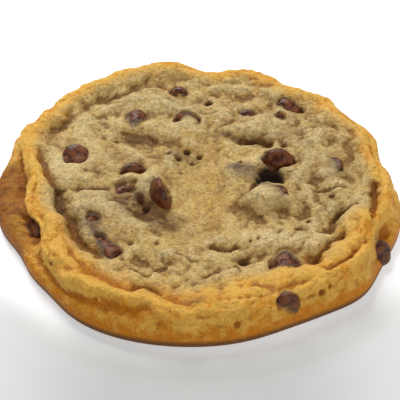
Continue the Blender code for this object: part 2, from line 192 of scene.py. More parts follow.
FAR_OUTSIDE = -99.0     # distance inside a bare patch before any patch is looked at
FILM_SLOPE = 0.24       # film thickness gained per millimetre away from a bare patch
FILM_MOST = 1.5         # the thickest that a film gets
FILM_CLUMPS = (-0.5, 0.8)       # lowest and highest clump that shows in a film
FILM_FADE = (0.1, 0.9)  # film thickness over which the clumps come in
FILM_RISE = 0.6         # film thickness at which the dough is back at its own height
DRAPE_SOFTNESS = 0.5    # roundness of the bend where dough meets a covered chip
FILM_ROUGH = 0.35       # part of the dough's own clumps that shows where it covers a chip
CHIP_SINK = -0.6        # how far under a bare chip's surface the dough passes
SKIRT_FALL = 0.42       # height that a chip's cover loses per cell beyond the chip
SKIRT_CELLS = 9         # cells that it reaches
SKIRT_FILM = 0.1        # thinnest film that it starts from
SEE_THROUGH = 0.50      # film thickness that hides two thirds of a chip's colour

# ---- tints: (x, y, half length, half width, turn, strength) --------------------------------------
STAINS = (
    (10.8, 1.6, 4.8, 3.4, -8, 0.9), (-26.5, -17.5, 3.6, 4.6, 30, 0.5),
    (19.6, -8.7, 5.0, 4.6, 0, 0.35), (-19.4, -3.1, 5.0, 3.0, 0, 0.4),
    (-22.4, -23.4, 5.5, 1.9, -62, 0.9), (3.9, -39.4, 4.0, 2.4, 0, 0.4),
    (-0.4, -44.6, 4.0, 1.8, 0, 0.5), (27.6, 12.9, 3.6, 3.0, 0, 0.35),
    (35.0, 2.5, 3.4, 4.4, 0, 0.35), (-29.0, -11.1, 4.6, 3.6, 0, 0.2),
    (-45.6, -12.6, 3.0, 1.6, -60, 0.4), (17.8, 27.3, 4.5, 3.0, 0, 0.3),
    (-19.8, 26.4, 4.0, 4.0, 0, 0.35), (20.4, -29.6, 4.5, 2.4, -10, 0.4),
    (46.4, -23.0, 3.0, 2.0, 80, 0.4),
)
# Darker ovals over hollows, folds and pits: browning and painted shade.
BROWNINGS_AND_SHADE = (
    (-12.4, -13.6, 8.5, 3.4, -32, 1.5), (-14.6, -9.6, 4.4, 3.0, -30, 1.0),
    (-15.4, 16.3, 6.2, 2.0, 0, 0.8), (6.0, 18.3, 2.6, 1.6, 0, 0.8),
    (14.2, 15.2, 6.4, 1.6, -8, 0.8), (10.9, -30.3, 2.0, 1.4, 0, 0.9),
    (-4.0, 8.6, 4.8, 3.0, 0, 0.6), (16.0, -2.6, 4.8, 2.0, -60, 0.8),
    (-21.0, -38.0, 9.0, 2.0, -24, 0.6), (-8.0, -41.6, 7.0, 1.8, -20, 0.5),
    (-17.0, -48.4, 12.0, 2.4, -8, 0.7), (43.6, -9.0, 1.8, 4.6, 0, 0.7),
    (-30.4, -23.0, 2.4, 6.0, 35, 0.6), (-25.4, -33.6, 3.0, 2.4, -50, 0.5),
    (3.4, -44.4, 3.4, 1.6, 0, 0.5), (24.0, -47.6, 7.0, 1.6, 12, 0.5),
)
PALES = (
    (-33.4, 5.0, 6.4, 5.0, 60, 0.9), (-13.4, -4.7, 4.4, 2.4, 60, 0.8),
    (19.8, -23.0, 8.0, 3.2, -8, 0.7), (15.6, -7.4, 4.6, 4.0, 0, 0.6),
    (-3.0, 21.4, 4.4, 2.4, 0, 0.8), (10.0, -35.5, 9.0, 3.0, 8, 0.4),
    (-21.0, -13.4, 7.0, 2.6, -44, 0.5), (-26.0, 22.0, 8.0, 5.0, 40, 0.3),
)
GREYS = (
    (-8.0, 30.0, 12.0, 5.0, 0, 0.8), (20.0, 20.0, 14.0, 7.0, -20, 0.6),
    (30.0, -2.0, 9.0, 16.0, 0, 0.5), (-25.0, -10.0, 6.0, 7.0, 0, 0.5),
    (-20.0, 6.0, 8.0, 6.0, 0, 0.4),
)
GOLDS = (
    (2.0, -4.0, 8.0, 10.0, 0, 0.8), (0.0, 12.0, 9.0, 3.0, 0, 0.4), (-4.0, -18.0, 10.0, 6.0, 0, 0.3),
)

# ---- fine skin -----------------------------------------------------------------------------------
CELLS = 292             # cells across the dough's blanket
UNDER_RINGS = 5         # fine rings of the underside, next to the foot
UNDER_REACH = 3.5       # how far they reach in
UNDER_ROWS = (          # the coarser rings: (thinning, sizes as parts of the foot)
    (2, (0.90, 0.85, 0.79, 0.73, 0.67, 0.60, 0.53)),
    (4, (0.45, 0.36, 0.27, 0.18, 0.09)),
)
MIDDLE_EDGE = 1.0       # from the crest in to where the middle's clumps have given way to the rim's
RELIEF_FADE = 4.0       # skin above the foot's roll over which the relief dies away
HILLS = (               # (size, height in the middle, height on the rim, seed)
    (9.0, 1.2, 0.60, 51), (4.6, 0.75, 0.40, 52),
)
CLUMPS = (              # the same, for rounded clumps with creases between them
    (5.0, 0.8, 0.50, 11), (2.4, 0.48, 0.36, 12), (1.3, 0.26, 0.22, 13),
)
CLUMP_FLOOR = 0.32      # part of a clump's noise that is sunk, so that most of it stands up
WARPS = ((6.0, 0.9, 31), (2.2, 0.35, 33))       # (size, shift, seed) that bends lumps and folds
# Parts of the floor that are smoother or rougher: (x, y, half length, half width, turn, strength).
ROUGHNESSES = (
    (2.0, -5.0, 9.5, 14.0, 0, -0.8), (28.0, 2.0, 9.0, 22.0, 0, 0.5),
    (10.0, 26.0, 12.0, 5.0, 0, 0.3), (-24.0, 14.0, 9.0, 9.0, 0, -0.3),
    (0.0, -26.0, 16.0, 5.0, 0, -0.2), (-4.0, 9.0, 5.0, 4.0, 0, 0.5),
)
# Wrinkles that follow the rim: (azimuth, half width, distance from the middle, half width, height).
WRINKLES = (
    (262, 46, 36.0, 8.0, 1.5), (322, 24, 37.0, 8.0, 1.3), (205, 22, 42.0, 6.0, 0.9),
    (120, 50, 41.0, 5.0, 0.9), (30, 50, 42.0, 5.0, 0.9), (270, 70, 50.0, 5.0, 0.8),
)
WRINKLE_SIZES = ((12.0, 4.6, 41), (6.0, 2.4, 43))       # (length, width, seed)


def smoothstep(value, low, high):
    """Ease from 0 at low to 1 at high."""
    part = np.clip((value - low) / (high - low), 0.0, 1.0)
    return part * part * (3.0 - 2.0 * part)


# ---- noise over the blanket ---------------------------------------------------------------------
NOISE_TABLE = 256


def wave_noise(x, y, size, seed):
    """Smooth noise from about -1 to 1, whose bumps are about size across."""
    directions = np.random.default_rng(seed).uniform(0.0, math.tau, (NOISE_TABLE, NOISE_TABLE))
    x, y = x / size, y / size
    column, row = np.floor(x).astype(int), np.floor(y).astype(int)
    x, y = x - column, y - row
    corners = []
    for down in (0, 1):
        for right in (0, 1):
            angle = directions[(row + down) % NOISE_TABLE, (column + right) % NOISE_TABLE]
            corners.append(np.cos(angle) * (x - right) + np.sin(angle) * (y - down))
    across, along = smoothstep(x, 0.0, 1.0), smoothstep(y, 0.0, 1.0)
    near = corners[0] * (1.0 - across) + corners[1] * across
    far = corners[2] * (1.0 - across) + corners[3] * across
    return 1.5 * (near * (1.0 - along) + far * along)


# ---- the dough's plain form ---------------------------------------------------------------------
def turn_from(azimuth, centre):
    """Degrees from centre to azimuth, the shorter way round."""
    return (azimuth - centre + 180.0) % 360.0 - 180.0


def lobes(azimuth, table):
    """Sum of round bumps along the outline."""
    total = np.zeros_like(azimuth)
    for centre, half_width, height in table:
        total += height * np.exp(-(turn_from(azimuth, centre) / half_width) ** 2)
    return total


def rim(azimuth):
    """Radius of the foot, depth of the lip and radius of the crest at an azimuth."""
    foot = MEAN_RADIUS + lobes(azimuth, OUTLINE)
    lip = lobes(azimuth, LIPS)
    return foot, lip, foot - lip - CREST_IN


def blanket_radius(azimuth):
    """Distance from the middle to the blanket's edge, walked over the rim."""
    _, lip, crest = rim(azimuth)
    return crest + SIDE_LENGTH + lip + UNDER_LENGTH


def plain_point(x, y):
    """Point of the plain form under the place (x, y) of the blanket."""
    azimuth = np.degrees(np.arctan2(y, x))
    walked = np.hypot(x, y)
    foot, lip, crest = rim(azimuth)
    side = SIDE_LENGTH + lip
    turn = np.clip((walked - crest) / side, 0.0, 1.0) * math.pi / 2
    roll = np.clip((walked - crest - side) / UNDER_LENGTH, 0.0, 1.0) * math.pi / 2
    top_z = FLOOR_Z + (CREST_Z - FLOOR_Z) * smoothstep(walked, crest - RISE, crest)
    side_r = crest + CREST_IN * np.sin(turn) + lip * smoothstep(np.degrees(turn), *LIP_SHELF)
    side_z = FOOT_Z + (CREST_Z - FOOT_Z) * np.cos(turn)
    under_r = foot - UNDER_IN * (1.0 - np.cos(roll))
    under_z = FOOT_Z * (1.0 - np.sin(roll))
    on_top = walked < crest
    on_side = walked < crest + side
    radius = np.where(on_top, walked, np.where(on_side, side_r, under_r))
    height = np.where(on_top, top_z, np.where(on_side, side_z, under_z))
    angle = np.radians(azimuth)
    return np.stack((radius * np.cos(angle), radius * np.sin(angle), height), axis=-1)


def plain_normal(x, y):
    """Direction straight out of the plain form."""
    across = plain_point(x + NORMAL_STEP, y) - plain_point(x - NORMAL_STEP, y)
    along = plain_point(x, y + NORMAL_STEP) - plain_point(x, y - NORMAL_STEP)
    normal = np.cross(across, along)
    return normal / np.linalg.norm(normal, axis=-1, keepdims=True)


# ---- relief -------------------------------------------------------------------------------------
def oval(x, y, centre_x, centre_y, half_length, half_width, turn):
    """Distance from an oval's middle, 1 at its edge."""
    angle = math.radians(turn)
    along = (x - centre_x) * math.cos(angle) + (y - centre_y) * math.sin(angle)
    across = (y - centre_y) * math.cos(angle) - (x - centre_x) * math.sin(angle)
    return np.hypot(along / half_length, across / half_width)


def mounds(x, y, table):
    """Sum of soft oval mounds, each given with its height last."""
    return sum(entry[-1] * np.exp(-oval(x, y, *entry[:-1]) ** 2) for entry in table)


def round_corners(points):
    """Cut each corner of an open path at its quarter points, which bends it into a curve."""
    path = [np.array(point, float) for point in points]
    for _ in range(CORNER_ROUNDS):
        inner = []
        for start, end in zip(path, path[1:]):
            inner += [start * 0.75 + end * 0.25, start * 0.25 + end * 0.75]
        path = [path[0], *inner, path[-1]]
    return path


def path_distance(x, y, points):
    """Distance to a path, and a strength that dies away at its two ends."""
    path = round_corners(points)
    nearest = np.full(np.shape(x), np.inf)
    place = np.zeros(np.shape(x))
    count = len(path) - 1
    for index, (start, end) in enumerate(zip(path, path[1:])):
        step = end - start
        part = ((x - start[0]) * step[0] + (y - start[1]) * step[1]) / step.dot(step)
        part = np.clip(part, 0.0, 1.0)
        distance = np.hypot(x - start[0] - part * step[0], y - start[1] - part * step[1])
        closer = distance < nearest
        nearest = np.where(closer, distance, nearest)
        place = np.where(closer, (index + part) / count, place)
    taper = smoothstep(place, 0.0, FOLD_TAPER) * (1.0 - smoothstep(place, 1.0 - FOLD_TAPER, 1.0))
    return nearest, taper


def grooves(x, y, table, core, shoulder):
    """Depth of all the paths in a table; core is the half width of their sharp bottoms."""
    depth = np.zeros_like(x)
    for points, half_width, most in table:
        distance, taper = path_distance(x, y, points)
        soft = np.exp(-(distance / half_width) ** 2)
        sharp = np.exp(-distance / (half_width * core))
        beside = np.exp(-(distance / half_width - SWELLING_PLACE) ** 2)
        depth += most * taper * (SOFT_SHARE * soft + SHARP_SHARE * sharp - shoulder * beside)
    return depth


def warp(x, y):
    """Shift places a little, so that lumps and folds wander."""
    shift_x = sum(shift * wave_noise(x, y, size, seed) for size, shift, seed in WARPS)
    shift_y = sum(shift * wave_noise(x, y, size, seed + 1) for size, shift, seed in WARPS)
    return x + shift_x, y + shift_y


def clumps(x, y, middle):
    """Rounded clumps with creases between them; middle is 1 on the floor and 0 on the rim."""
    height = np.zeros_like(x)
    for size, in_middle, on_rim, seed in CLUMPS:
        rough = np.abs(wave_noise(x, y, size, seed)) - CLUMP_FLOOR
        height += rough * (on_rim + (in_middle - on_rim) * middle)
    for size, in_middle, on_rim, seed in HILLS:
        height += wave_noise(x, y, size, seed) * (on_rim + (in_middle - on_rim) * middle)
    return height * (1.0 + mounds(x, y, ROUGHNESSES))


def wrinkles(x, y):
    """Creases that run along the rim."""
    azimuth = np.degrees(np.arctan2(y, x))
    walked = np.hypot(x, y)
    weight = np.zeros_like(x)
    for centre, half_angle, distance, half_width, height in WRINKLES:
        along = (turn_from(azimuth, centre) / half_angle) ** 4
        across = ((walked - distance) / half_width) ** 2
        weight += height * np.exp(-along - across)
    around = np.radians(azimuth % 360.0) * MEAN_RADIUS
    height = np.zeros_like(x)
    for length, width, seed in WRINKLE_SIZES:
        rough = np.abs(wave_noise(around * width / length, walked, width, seed)) - CLUMP_FLOOR
        height += rough * width / WRINKLE_SIZES[0][1]
    return height * weight


def pits(x, y):
    """Depth of the steep round holes."""
    depth = np.zeros_like(x)
    for centre_x, centre_y, radius, deep in PITS:
        away = np.hypot(x - centre_x, y - centre_y) / radius
        depth += deep * np.exp(-away ** 3)
    return depth


def bare_distance(x, y):
    """How far inside a bare patch a place is, in millimetres; negative outside every patch."""
    inside = np.full(np.shape(x), FAR_OUTSIDE)
    for entry in BARE:
        inside = np.maximum(inside, (1.0 - oval(x, y, *entry)) * min(entry[2], entry[3]))
    wander = sum(share * wave_noise(x, y, size, seed) for size, share, seed in RAGS)
    return inside + BARE_RAGGED * wander


def wrap_chips(height, chip_height, film):
    """Lay the dough over covered chips, and sink it under bare ones."""
    over = chip_height + film
    overlap = np.clip(0.5 + 0.5 * (over - height) / DRAPE_SOFTNESS, 0.0, 1.0)
    draped = height + (over - height) * overlap + DRAPE_SOFTNESS * overlap * (1.0 - overlap) / 2
    rising = over + (height - over) * smoothstep(film, 0.0, FILM_RISE)
    covered = np.where(over > height, draped, np.maximum(rising, over))
    return np.where(film > 0.0, covered, np.minimum(height, over))


def spread(field, fall, rounds):
    """Let high places run down onto their neighbours, losing height with each cell."""
    for _ in range(rounds):
        padded = np.pad(field, 1, mode="edge")
        around = np.maximum(padded[:-2, 1:-1], padded[2:, 1:-1])
        around = np.maximum(around, np.maximum(padded[1:-1, :-2], padded[1:-1, 2:]))
        field = np.maximum(field, around - fall)
    return field


def blur(field, rounds):
    """Average each place of a grid with its four neighbours."""
    for _ in range(rounds):
        padded = np.pad(field, 1, mode="edge")
        around = padded[:-2, 1:-1] + padded[2:, 1:-1] + padded[1:-1, :-2] + padded[1:-1, 2:]
        field = field * 0.5 + around * 0.125
    return field


# ---- objects ------------------------------------------------------------------------------------
def add_object(name, data):
    """A new object, linked to the scene."""
    made = bpy.data.objects.new(name, data)
    bpy.context.scene.collection.objects.link(made)
    return made


# ---- chips --------------------------------------------------------------------------------------
CHIP_LEVELS = 2         # times that a chip's faces are divided
CHIP_ROUGH = 0.24       # height of a chip's dents
CHIP_DENT = 2.1         # size of its dents


def refine_chip(node):
    """A smooth, slightly dented copy of a CAD chip."""
    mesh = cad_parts[node].data.copy()
    shape = bmesh.new()
    shape.from_mesh(mesh)
    bmesh.ops.remove_doubles(shape, verts=shape.verts, dist=0.01 * MM)
    shape.to_mesh(mesh)
    shape.free()
    coarse = add_object("coarse", mesh)
    divide = coarse.modifiers.new("smooth", "SUBSURF")
    divide.levels = divide.render_levels = CHIP_LEVELS
    depsgraph = bpy.context.evaluated_depsgraph_get()
    fine = bpy.data.meshes.new_from_object(coarse.evaluated_get(depsgraph))
    bpy.data.objects.remove(coarse)
    for vert in fine.vertices:
        spot = vert.co / (CHIP_DENT * MM)
        vert.co += vert.normal * (CHIP_ROUGH * MM * noise.noise(spot))
    piece = add_object("fine_" + node, fine)
    fine.materials.clear()
    fine.shade_smooth()
    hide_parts(node)
    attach(piece, "root")
    return piece


def chip_tree(chips):
    """All the chips as one search tree."""
    points, faces = [], []
    for chip in chips:
        start = len(points)
        points += [vert.co.copy() for vert in chip.data.vertices]
        faces += [[start + corner for corner in face.vertices] for face in chip.data.polygons]
    return BVHTree.FromPolygons(points, faces)


RAY_START = 9.0         # how far out of the plain form the search for chips starts
NO_CHIP = -99.0         # stands for the chips' height where there is no chip


def chip_heights(points, normals, tree):
    """Height of the chips' surface over the plain form, or NO_CHIP."""
    heights = np.full(len(points), NO_CHIP)
    for index, (point, normal) in enumerate(zip(points, normals)):
        start = Vector((point + normal * RAY_START) * MM)
        hit = tree.ray_cast(start, Vector(-normal), 2 * RAY_START * MM)
        if hit[0] is not None:
            heights[index] = RAY_START - hit[3] / MM
    return heights


# ---- the dough's mesh ---------------------------------------------------------------------------
def blanket_grid(cells):
    """Places of a square grid bent onto the round blanket, ring by ring."""
    line = np.linspace(-1.0, 1.0, cells + 1)
    a, b = np.meshgrid(line, line, indexing="ij")
    ring = np.maximum(np.abs(a), np.abs(b))
    wide = np.abs(a) >= np.abs(b)
    long_side = np.where(wide, a, b)
    short_side = np.where(wide, b, a)
    share = short_side / np.where(long_side == 0.0, 1.0, long_side)
    turn = np.where(wide, share, 2.0 - share) * math.pi / 4
    angle = turn + np.where(long_side < 0.0, math.pi, 0.0)
    reach = ring * blanket_radius(np.degrees(angle))
    return reach * np.cos(angle), reach * np.sin(angle)


def grid_border(cells):
    """Indices of the grid's border, anticlockwise seen from above."""
    side = range(cells)
    border = [(index, 0) for index in side] + [(cells, index) for index in side]
    border += [(cells - index, cells) for index in side] + [(0, cells - index) for index in side]
    return [i * (cells + 1) + j for i, j in border]


def halve_ring(outer, inner):
    """Faces between a ring and the one inside it, which has half as many corners."""
    count = len(inner)
    faces = []
    for index in range(count):
        a, b, c = outer[2 * index], outer[2 * index + 1], outer[(2 * index + 2) % len(outer)]
        d, e = inner[index], inner[(index + 1) % count]
        faces += [(a, d, b), (b, d, e), (b, e, c)]
    return faces


def close_under(points, border):
    """Fill the underside with rings that halve twice, ending in a fan; returns points and faces."""
    edge = points[border]
    rows = [
        (1.0 - UNDER_REACH * ring / UNDER_RINGS / MEAN_RADIUS, 1)
        for ring in range(1, UNDER_RINGS + 1)
    ]
    rows += [(share, thinning) for thinning, shares in UNDER_ROWS for share in shares]
    faces, added, ring, step = [], [], border, 1
    for share, thinning in rows:
        fresh = [len(points) + len(added) + index for index in range(len(border) // thinning)]
        added += [point * (share, share, 1.0) for point in edge[::thinning]]
        if thinning == step:
            pairs = [(i, i - len(ring) + 1) for i in range(len(ring))]
            faces += [(ring[i], fresh[i], fresh[j], ring[j]) for i, j in pairs]
        else:
            faces += halve_ring(ring, fresh)
        ring, step = fresh, thinning
    middle = len(points) + len(added)
    added.append(np.zeros(3))
    faces += [(ring[i], middle, ring[i - len(ring) + 1]) for i in range(len(ring))]
    return np.vstack((points, added)), faces


def relief(x, y, walked, azimuth, crest):
    """Height of the fine skin over the plain form, and the depths of its folds, cracks and holes."""
    middle = 1.0 - smoothstep(walked, crest - RISE, crest - MIDDLE_EDGE)
    bent_x, bent_y = warp(x, y)
    folds = FOLD_GROWTH * grooves(bent_x, bent_y, FOLDS, FOLD_CORE, FOLD_SHOULDER)
    cracks = grooves(bent_x, bent_y, CRACKS, 1.0, 0.0)
    holes = pits(x, y)
    height = mounds(bent_x, bent_y, LUMPS) + clumps(x, y, middle) + wrinkles(x, y)
    height = height - folds - cracks - holes
    to_edge = blanket_radius(azimuth) - walked
    fade = smoothstep(to_edge, UNDER_LENGTH, UNDER_LENGTH + RELIEF_FADE)
    return height * fade, folds, cracks, holes


# ---- what the dough's material is told, each range as (start, full) ------------------------------
TOUCH_ROUNDS = 24       # rounds of blurring that reach out from the chips
TOUCH_LEAST = 0.002     # least of that blur at which the dough is smoothed
SMOOTH_ROUNDS = 3       # rounds of blurring that smooth it
SEEN_ROUNDS = 2         # rounds that soften what shows through a film
DEEP_COVER = 9.0        # cover where there is no chip, which hides everything
SHADE_HOLLOWS = ((24, 1.1), (160, 0.45))      # (rounds of blurring, share) of narrow and wide hollows, which get painted shade while high places get a painted highlight
CRUST_START = -5.5      # from the crest to the start of the golden crust, at the back
CRUST_FRONT = 8.0       # how much further in it starts at the front
CRUST_FULL = 2.0        # from the crest to where it is full
FRONT = (8.0, 30.0)     # distance forward of the middle
LOW_SIDE = (0.45, 1.0)  # parts of the side
# Part of the side over which painted shade darkens the foot's rolled-under edge.
FOOT_SHADE = (0.90, 1.0)
LIP_DEPTH = (1.6, 4.0)
LIP_SIDE = (0.25, 0.5)
FOLD_BROWN_AND_SHADE = 0.5        # browning and painted shade for each millimetre of a fold
FOLD_PALE = 0.3         # depth down to which a fold isn't darkened
CRACK_SHADE = 0.5      # painted shade that a crack gets, for each millimetre of its depth
# Depth of a pit over which painted shade makes it near black.
HOLE_SHADE_DEPTH = (0.5, 1.9)


def dough_surface(tree):
    """Points of the dough's grid, and what its material needs to know at each of them."""
    x, y = blanket_grid(CELLS)
    plain = plain_point(x, y) - np.array(ORIGIN)
    normal = plain_normal(x, y)
    azimuth = np.degrees(np.arctan2(y, x))
    walked = np.hypot(x, y)
    _, lip, crest = rim(azimuth)
    height, folds, cracks, holes = relief(x, y, walked, azimuth, crest)

    chip = chip_heights(plain.reshape(-1, 3), normal.reshape(-1, 3), tree).reshape(x.shape)
    film = np.clip(-FILM_SLOPE * bare_distance(x, y), CHIP_SINK, FILM_MOST)
    rough = np.clip(clumps(x, y, np.ones_like(x)), *FILM_CLUMPS) * smoothstep(film, *FILM_FADE)
    film = film + FILM_ROUGH * rough
    on_chip = chip > NO_CHIP
    wrapped = np.where(on_chip, wrap_chips(height, chip, film), height)
    covered = np.where(on_chip & (film > SKIRT_FILM), wrapped, NO_CHIP)
    skirt = spread(covered, SKIRT_FALL, SKIRT_CELLS)
    bare = on_chip & (film <= 0.0)
    wrapped = np.where(bare, wrapped, np.maximum(wrapped, skirt))
    touched = blur(on_chip.astype(float), TOUCH_ROUNDS) > TOUCH_LEAST
    height = np.where(touched & ~bare, blur(wrapped, SMOOTH_ROUNDS), wrapped)
    cover = np.where(on_chip, np.maximum(height - chip, 0.0), DEEP_COVER)

    points = plain + normal * height[..., None]
    seen = blur(np.exp(-cover / SEE_THROUGH), SEEN_ROUNDS)
    side = (walked - crest) / (SIDE_LENGTH + lip)
    # Blurred height less height: positive in hollows, which get painted shade, negative on high places,
    # which get a painted highlight.
    hollow_shade_top_highlight = sum(share * (blur(height, rounds) - height) for rounds, share in SHADE_HOLLOWS)
    crust_start = CRUST_START - CRUST_FRONT * smoothstep(-y, *FRONT)
    fold_brown_and_shade = FOLD_BROWN_AND_SHADE * np.maximum(folds - FOLD_PALE, 0.0)
    looks = {
        "crust": smoothstep(walked - crest, crust_start, CRUST_FULL),
        "low_side": smoothstep(side, *LOW_SIDE),
        "foot": smoothstep(side, *FOOT_SHADE),
        "lip": smoothstep(lip, *LIP_DEPTH) * smoothstep(side, *LIP_SIDE),
        "seen": np.clip(seen, 0.0, 1.0),
        "stain": np.clip(mounds(x, y, STAINS), 0.0, 1.0),
        "brown_and_shade": np.clip(mounds(x, y, BROWNINGS_AND_SHADE) + fold_brown_and_shade, 0.0, 1.0),
        "pale": np.clip(mounds(x, y, PALES), 0.0, 1.0),
        "grey": np.clip(mounds(x, y, GREYS), 0.0, 1.0),
        "gold": np.clip(mounds(x, y, GOLDS), 0.0, 1.0),
        "hollow_shade_top_highlight": np.clip(hollow_shade_top_highlight + cracks * CRACK_SHADE, -1.0, 1.0),
        "hole_shade": smoothstep(holes, *HOLE_SHADE_DEPTH),
    }
    return points.reshape(-1, 3), {name: field.reshape(-1) for name, field in looks.items()}


def make_dough(tree):
    """The dough's fine skin and underside, with the values that its material reads."""
    points, looks = dough_surface(tree)
    width = CELLS + 1
    faces = [
        (i * width + j, (i + 1) * width + j, (i + 1) * width + j + 1, i * width + j + 1)
        for i in range(CELLS) for j in range(CELLS)
    ]
    top_count = len(points)
    points, under = close_under(points, grid_border(CELLS))
    mesh = bpy.data.meshes.new("fine_dough")
    mesh.from_pydata((points * MM).tolist(), [], faces + under)
    mesh.shade_smooth()
    under_value = {"crust": 1.0, "low_side": 1.0, "foot": 1.0}
    for name, values in looks.items():
        full = np.full(len(points), under_value.get(name, 0.0))
        full[:top_count] = values
        attribute = mesh.attributes.new(name, "FLOAT", "POINT")
        attribute.data.foreach_set("value", full.astype(np.float32))
    under_side = mesh.attributes.new("under", "FLOAT", "POINT")
    under_side.data.foreach_set("value", (np.arange(len(points)) >= top_count).astype(np.float32))
    piece = add_object("fine_dough", mesh)
    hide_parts("dough")
    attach(piece, "root")
    return piece


# ---- material helpers ---------------------------------------------------------------------------
class Nodes:
    """Adds nodes to a material, linking what is a socket and setting what is a value."""

    def __init__(self, name):
        self.material = bpy.data.materials.new(name)
        self.material.use_nodes = True
        self.tree = self.material.node_tree
        self.shader = self.tree.nodes["Principled BSDF"]
        self.place = self.add("ShaderNodeTexCoord").outputs["Object"]

    def add(self, kind, **settings):
        made = self.tree.nodes.new(kind)
        for name, value in settings.items():
            setattr(made, name, value)
        return made

    def feed(self, socket, value):
        if isinstance(value, bpy.types.NodeSocket):
            self.tree.links.new(value, socket)
        elif isinstance(value, tuple) and len(value) == 3 and socket.type == "RGBA":
            socket.default_value = (*value, 1.0)
        else:
            socket.default_value = value

    def attribute(self, name):
        return self.add("ShaderNodeAttribute", attribute_name=name).outputs["Fac"]

    def noise(self, size, detail=2.0, roughness=0.5, distortion=0.0):
        """Noise from 0 to 1 whose bumps are about size millimetres across."""
        made = self.add("ShaderNodeTexNoise")
        self.feed(made.inputs["Vector"], self.place)
        self.feed(made.inputs["Scale"], 1.0 / (size * MM))
        self.feed(made.inputs["Detail"], detail)
        self.feed(made.inputs["Roughness"], roughness)
        self.feed(made.inputs["Distortion"], distortion)
        return made.outputs["Fac"]

    def cells(self, size, feature="F1"):
        """Distance to scattered points about size millimetres apart, in parts of that size."""
        made = self.add("ShaderNodeTexVoronoi", feature=feature)
        self.feed(made.inputs["Vector"], self.place)
        self.feed(made.inputs["Scale"], 1.0 / (size * MM))
        return made.outputs["Distance"]

    def math(self, operation, first, second=0.0, third=0.0):
        made = self.add("ShaderNodeMath", operation=operation)
        for socket, value in zip(made.inputs, (first, second, third)):
            self.feed(socket, value)
        return made.outputs[0]

    def between(self, value, low, high, to_low=0.0, to_high=1.0):
        """Map low..high onto to_low..to_high, clamped and eased."""
        made = self.add("ShaderNodeMapRange", interpolation_type="SMOOTHSTEP")
        for socket, number in zip(made.inputs, (value, low, high, to_low, to_high)):
            self.feed(socket, number)
        return made.outputs["Result"]

    def mix(self, factor, first, second, blend="MIX"):
        made = self.add("ShaderNodeMix", data_type="RGBA", blend_type=blend)
        self.feed(made.inputs[0], factor)
        self.feed(made.inputs[6], first)
        self.feed(made.inputs[7], second)
        return made.outputs[2]

    def shade(self, colour, value):
        """Make a colour lighter or darker."""
        made = self.add("ShaderNodeHueSaturation")
        self.feed(made.inputs["Value"], value)
        self.feed(made.inputs["Color"], colour)
        return made.outputs["Color"]

    def bump(self, height, distance, strength, below=None):
        made = self.add("ShaderNodeBump")
        self.feed(made.inputs["Height"], height)
        self.feed(made.inputs["Distance"], distance * MM)
        self.feed(made.inputs["Strength"], strength)
        if below is not None:
            self.feed(made.inputs["Normal"], below)
        return made.outputs["Normal"]

    def set(self, **values):
        for name, value in values.items():
            self.feed(self.shader.inputs[name.replace("_", " ")], value)


# ---- materials ----------------------------------------------------------------------------------
MIDDLE = (0.49, 0.325, 0.102)
MIDDLE_BROWN = (0.34, 0.195, 0.050)
GREY = (0.37, 0.285, 0.140)
GOLD = (0.49, 0.295, 0.072)
RIM_GOLD = (0.69, 0.385, 0.062)
RIM_ORANGE = (0.60, 0.24, 0.012)
RIM_BROWN = (0.52, 0.175, 0.001)
LIP_BROWN = (0.19, 0.052, 0.001)
PALE = (0.60, 0.465, 0.225)
# Near black of the browning and painted shade over hollows, folds and pits.
HOLLOW_SHADE_BROWN = (0.075, 0.024, 0.001)
# Colours of the painted shade in creases and hollows.
CREASE_SHADE_BROWN = (0.17, 0.078, 0.014)
CREASE_SHADE_ORANGE = (0.36, 0.115, 0.006)
FILM_TINT = (0.090, 0.048, 0.032)
SPECK_BROWN = (0.17, 0.06, 0.010)
SPECK_ORANGE = (0.26, 0.075, 0.002)
# Near black of the painted shade in holes.
HOLE_SHADE_DARK = (0.018, 0.006, 0.002)
# Dark colour of the painted shade along the foot's edge, over its browning.
FOOT_SHADE_BROWN = (0.085, 0.034, 0.010)
UNDER_BROWN = (0.26, 0.11, 0.025)
CHOCOLATE = (0.055, 0.012, 0.002)
CHOCOLATE_WARM = (0.17, 0.050, 0.014)
BLOOM = (0.16, 0.080, 0.042)


